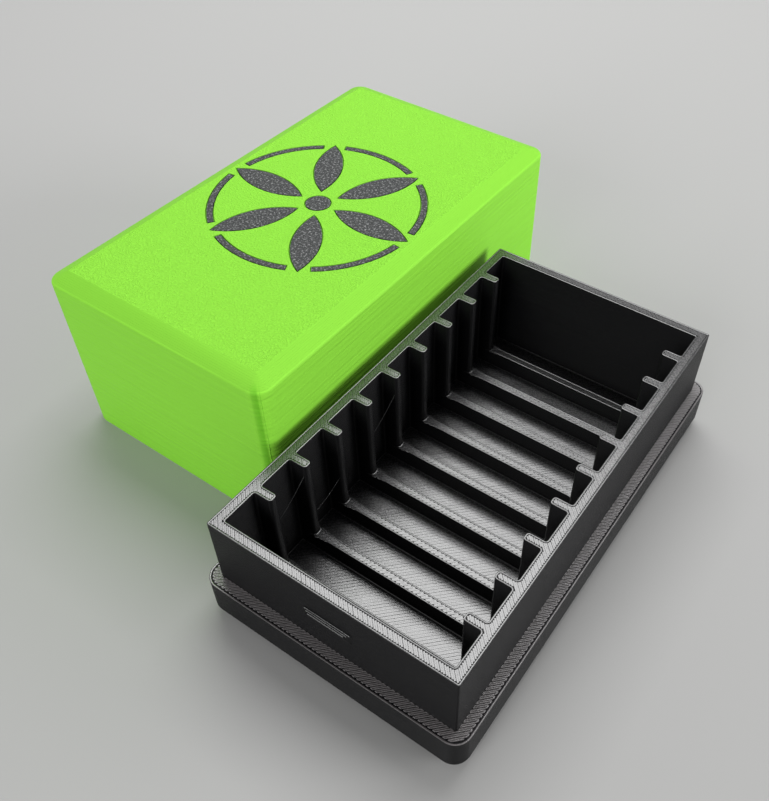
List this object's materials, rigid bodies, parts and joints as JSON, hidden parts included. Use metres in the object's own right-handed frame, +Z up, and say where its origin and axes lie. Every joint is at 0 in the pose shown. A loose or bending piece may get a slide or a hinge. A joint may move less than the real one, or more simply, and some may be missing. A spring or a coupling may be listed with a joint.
{
  "type": "coin storage box",
  "caption": "Slotted tray for square coin holders on a stepped plinth, with a loose bevelled lid that slips over it and stands beside it; a flush rosette is laid into the lid.",
  "frame": {"origin": "centre of the base's underside, on the surface that the box stands on", "axes": "+X across the slots' width, away from the lid; +Y along the row of slots; +Z up"},
  "size_m": [0.1259, 0.1345, 0.045],
  "materials": {
    "graphite_pla": "3-D printed, satin",
    "lime_pla": "3-D printed, matte",
    "speckled_pla": "3-D printed, speckled satin"
  },
  "bodies": {
    "base": {"base_tray": "graphite_pla"},
    "lid": {"lid_shell": "lime_pla", "rosette_hub": "speckled_pla", "rosette_petal_1": "speckled_pla", "rosette_petal_2": "speckled_pla", "rosette_petal_3": "speckled_pla", "rosette_petal_4": "speckled_pla", "rosette_petal_5": "speckled_pla", "rosette_petal_6": "speckled_pla", "rosette_arc_1": "speckled_pla", "rosette_arc_2": "speckled_pla", "rosette_arc_3": "speckled_pla", "rosette_arc_4": "speckled_pla", "rosette_arc_5": "speckled_pla", "rosette_arc_6": "speckled_pla"}
  },
  "joints": [
    {"name": "lid_lift", "type": "slide", "parent": "base", "child": "lid", "axis": [0, 0, 1], "range_m": [0, 0.06]}
  ]
}
